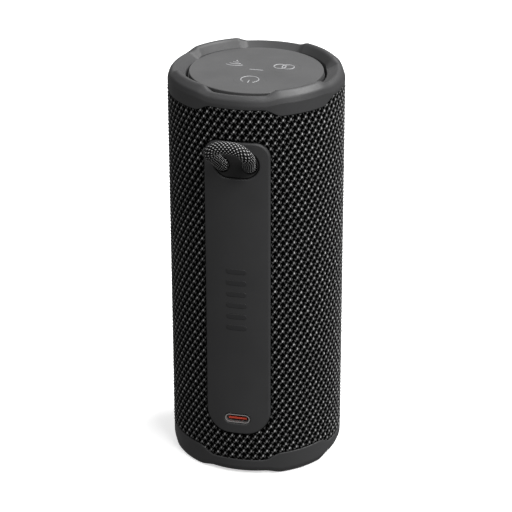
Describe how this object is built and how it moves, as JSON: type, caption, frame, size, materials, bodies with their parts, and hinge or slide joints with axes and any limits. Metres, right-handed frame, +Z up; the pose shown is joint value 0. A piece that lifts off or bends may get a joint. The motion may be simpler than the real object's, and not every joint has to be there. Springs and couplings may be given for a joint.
{
  "type": "portable cylindrical speaker",
  "caption": "Fabric-wrapped upright can speaker with rubber bumpers, top keys, rear strip, charging port and cord loop.",
  "frame": {"origin": "centre of the foot, at the level the feet stand on", "axes": "+Z up the can, -Y out of the rubber strip with the cord loop, +Y out of the driver"},
  "size_m": [0.0618, 0.0763, 0.1459],
  "materials": {
    "black_fabric": "woven",
    "cord_fabric": "braided",
    "bumper_rubber": "matte",
    "panel_rubber": "matte",
    "strip_rubber": "matte",
    "seal_rubber": "matte",
    "black_plastic": "textured",
    "light_plastic": "clear",
    "tongue_plastic": "moulded",
    "port_steel": "bright",
    "bright_steel": "satin",
    "circuit_board": "lacquered",
    "chip_plastic": "moulded",
    "battery_wrap": "shrink film",
    "cone_paper": "pressed",
    "spider_cloth": "pressed",
    "coil_copper": "enamelled"
  },
  "bodies": {
    "can": {"fabric_sleeve": "black_fabric", "top_bumper": "bumper_rubber", "bottom_bumper": "bumper_rubber", "top_disc": "panel_rubber", "rear_strip": "strip_rubber", "usb_gasket": "seal_rubber", "enclosure_seal": "seal_rubber", "driver_gasket": "seal_rubber", "driver_surround": "seal_rubber", "radiator_surround": "seal_rubber", "grille_frame": "black_plastic", "loop_pocket": "black_plastic", "loop_post": "black_plastic", "top_carrier": "black_plastic", "foot_carrier": "black_plastic", "enclosure_front": "black_plastic", "enclosure_rear": "black_plastic", "driver_basket": "black_plastic", "radiator_frame": "black_plastic", "battery_cradle": "black_plastic", "status_light_pipe": "light_plastic", "status_led": "light_plastic", "usb_tongue": "tongue_plastic", "usb_shell": "port_steel", "top_screws": "bright_steel", "foot_screws": "bright_steel", "driver_screws": "bright_steel", "driver_yoke": "bright_steel", "driver_top_plate": "bright_steel", "driver_magnet": "bright_steel", "control_board": "circuit_board", "main_board": "circuit_board", "usb_board": "circuit_board", "volume_board": "circuit_board", "main_chips": "chip_plastic", "tact_switches": "chip_plastic", "volume_switches": "chip_plastic", "battery_cell": "battery_wrap", "driver_spider": "spider_cloth"},
    "cone": {"driver_cone": "cone_paper", "dust_cap": "cone_paper", "voice_coil": "coil_copper"},
    "radiator": {"radiator_plate": "cone_paper", "radiator_weight": "bright_steel"},
    "power_key": {"key_power": "panel_rubber"},
    "wireless_key": {"key_wireless": "panel_rubber"},
    "link_key": {"key_link": "panel_rubber"},
    "plus_key": {"key_plus": "strip_rubber"},
    "minus_key": {"key_minus": "strip_rubber"},
    "loop": {"carry_loop": "cord_fabric"}
  },
  "joints": [
    {"name": "cone_travel", "type": "slide", "parent": "can", "child": "cone", "axis": [0, 1, 0], "range_m": [-0.0025, 0.0025], "stiffness_N_per_m": 1200, "deforming": ["driver_surround", "driver_spider"]},
    {"name": "radiator_travel", "type": "slide", "parent": "can", "child": "radiator", "axis": [0, 0, 1], "range_m": [-0.0025, 0.0025], "stiffness_N_per_m": 1500, "deforming": ["radiator_surround"]},
    {"name": "power_key_press", "type": "slide", "parent": "can", "child": "power_key", "axis": [0, 0, -1], "range_m": [0, 0.0003], "stiffness_N_per_m": 300},
    {"name": "wireless_key_press", "type": "slide", "parent": "can", "child": "wireless_key", "axis": [0, 0, -1], "range_m": [0, 0.0003], "stiffness_N_per_m": 300},
    {"name": "link_key_press", "type": "slide", "parent": "can", "child": "link_key", "axis": [0, 0, -1], "range_m": [0, 0.0003], "stiffness_N_per_m": 300},
    {"name": "plus_key_press", "type": "slide", "parent": "can", "child": "plus_key", "axis": [0, -1, 0], "range_m": [0, 0.0004], "stiffness_N_per_m": 400},
    {"name": "minus_key_press", "type": "slide", "parent": "can", "child": "minus_key", "axis": [0, -1, 0], "range_m": [0, 0.0004], "stiffness_N_per_m": 400},
    {"name": "loop_swing", "type": "hinge", "parent": "can", "child": "loop", "pos_m": [0, -0.0296, 0.1195], "axis": [1, 0, 0], "range_deg": [-3, 12]}
  ]
}
